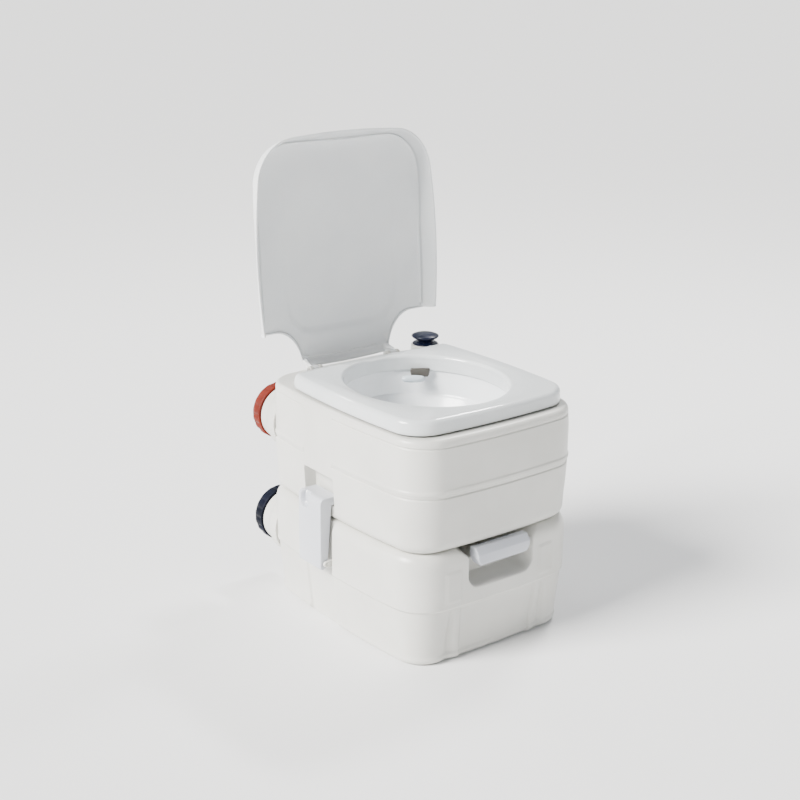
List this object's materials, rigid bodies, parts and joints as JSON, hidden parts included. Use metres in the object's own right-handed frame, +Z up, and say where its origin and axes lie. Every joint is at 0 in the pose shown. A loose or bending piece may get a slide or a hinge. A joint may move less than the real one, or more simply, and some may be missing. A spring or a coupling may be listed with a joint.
{
  "type": "portable camp toilet",
  "caption": "Portable flush toilet for camping: seat unit with bowl and lid latched on a waste holding tank with slide valve and screw caps.",
  "frame": {"origin": "middle of the flat base that stands on the ground", "axes": "+Z up and out of the base, the longest extent with the lid open; the front with the valve handle faces -Y; the lid hinges about X"},
  "size_m": [0.372, 0.457, 0.7423],
  "materials": {
    "tank_plastic": "blow-moulded satin polyethylene",
    "seat_plastic": "glossy injection-moulded polypropylene",
    "lid_plastic": "satin injection-moulded polypropylene",
    "latch_plastic": "cool white injection-moulded plastic",
    "filler_red": "brick-orange moulded plastic",
    "navy_plastic": "navy moulded plastic",
    "grey_plastic": "grey moulded plastic",
    "dark_plastic": "black moulded plastic",
    "seal_rubber": "moulded rubber",
    "hose_plastic": "clear flexible hose",
    "steel": "turned stainless steel"
  },
  "bodies": {
    "tanks": {"upper_tank_shell": "tank_plastic", "bowl": "seat_plastic", "seat_top": "seat_plastic", "hinge_pin_left": "steel", "hinge_pin_right": "steel", "pump_collar": "navy_plastic", "pump_barrel": "grey_plastic", "foot_valve": "grey_plastic", "foot_valve_flap": "seal_rubber", "delivery_hose": "hose_plastic", "nozzle_bracket": "dark_plastic", "flush_nozzle": "grey_plastic", "lower_tank_shell": "tank_plastic", "latch_pin_left": "steel", "latch_pin_right": "steel", "valve_lower_plate": "grey_plastic", "valve_upper_plate": "grey_plastic", "valve_lip_seal": "seal_rubber", "valve_screws": "steel"},
    "lid": {"lid": "lid_plastic"},
    "pump": {"pump_knob": "navy_plastic", "pump_rod": "steel", "pump_piston": "grey_plastic", "piston_seal": "seal_rubber"},
    "latch_left": {"latch_left": "latch_plastic"},
    "latch_right": {"latch_right": "latch_plastic"},
    "slide_valve": {"valve_blade": "dark_plastic", "valve_rod": "steel", "valve_handle": "latch_plastic"},
    "filler_cap_lift": {"filler_cap_seal": "seal_rubber"},
    "filler_cap": {"filler_cap": "filler_red"},
    "waste_cap_lift": {"waste_cap_seal": "seal_rubber"},
    "waste_cap": {"waste_cap": "navy_plastic"}
  },
  "joints": [
    {"name": "lid_hinge", "type": "hinge", "parent": "tanks", "child": "lid", "pos_m": [0, 0.173, 0.367], "axis": [1, 0, 0], "range_deg": [0, 94]},
    {"name": "pump_stroke", "type": "slide", "parent": "tanks", "child": "pump", "axis": [0, 0, 1], "range_m": [0, 0.045]},
    {"name": "latch_left_swing", "type": "hinge", "parent": "tanks", "child": "latch_left", "pos_m": [-0.178, 0.033, 0.112], "axis": [0, -1, 0], "range_deg": [0, 35]},
    {"name": "latch_right_swing", "type": "hinge", "parent": "tanks", "child": "latch_right", "pos_m": [0.178, 0.033, 0.112], "axis": [0, 1, 0], "range_deg": [0, 35]},
    {"name": "valve_pull", "type": "slide", "parent": "tanks", "child": "slide_valve", "axis": [0, -1, 0], "range_m": [0, 0.106]},
    {"name": "filler_cap_rise", "type": "slide", "parent": "tanks", "child": "filler_cap_lift", "axis": [0, 1, 0], "range_m": [0, 0.0091]},
    {"name": "filler_cap_turn", "type": "hinge", "parent": "filler_cap_lift", "child": "filler_cap", "pos_m": [-0.111, 0.23, 0.288], "axis": [0, 1, 0], "range_deg": [0, 540]},
    {"name": "waste_cap_rise", "type": "slide", "parent": "tanks", "child": "waste_cap_lift", "axis": [0, 1, 0], "range_m": [0, 0.0091]},
    {"name": "waste_cap_turn", "type": "hinge", "parent": "waste_cap_lift", "child": "waste_cap", "pos_m": [-0.111, 0.23, 0.106], "axis": [0, 1, 0], "range_deg": [0, 540]}
  ],
  "couplings": [
    {"joint": "filler_cap_rise", "follows": "filler_cap_turn", "m_per_rad": 0.00095493},
    {"joint": "waste_cap_rise", "follows": "waste_cap_turn", "m_per_rad": 0.00095493}
  ]
}
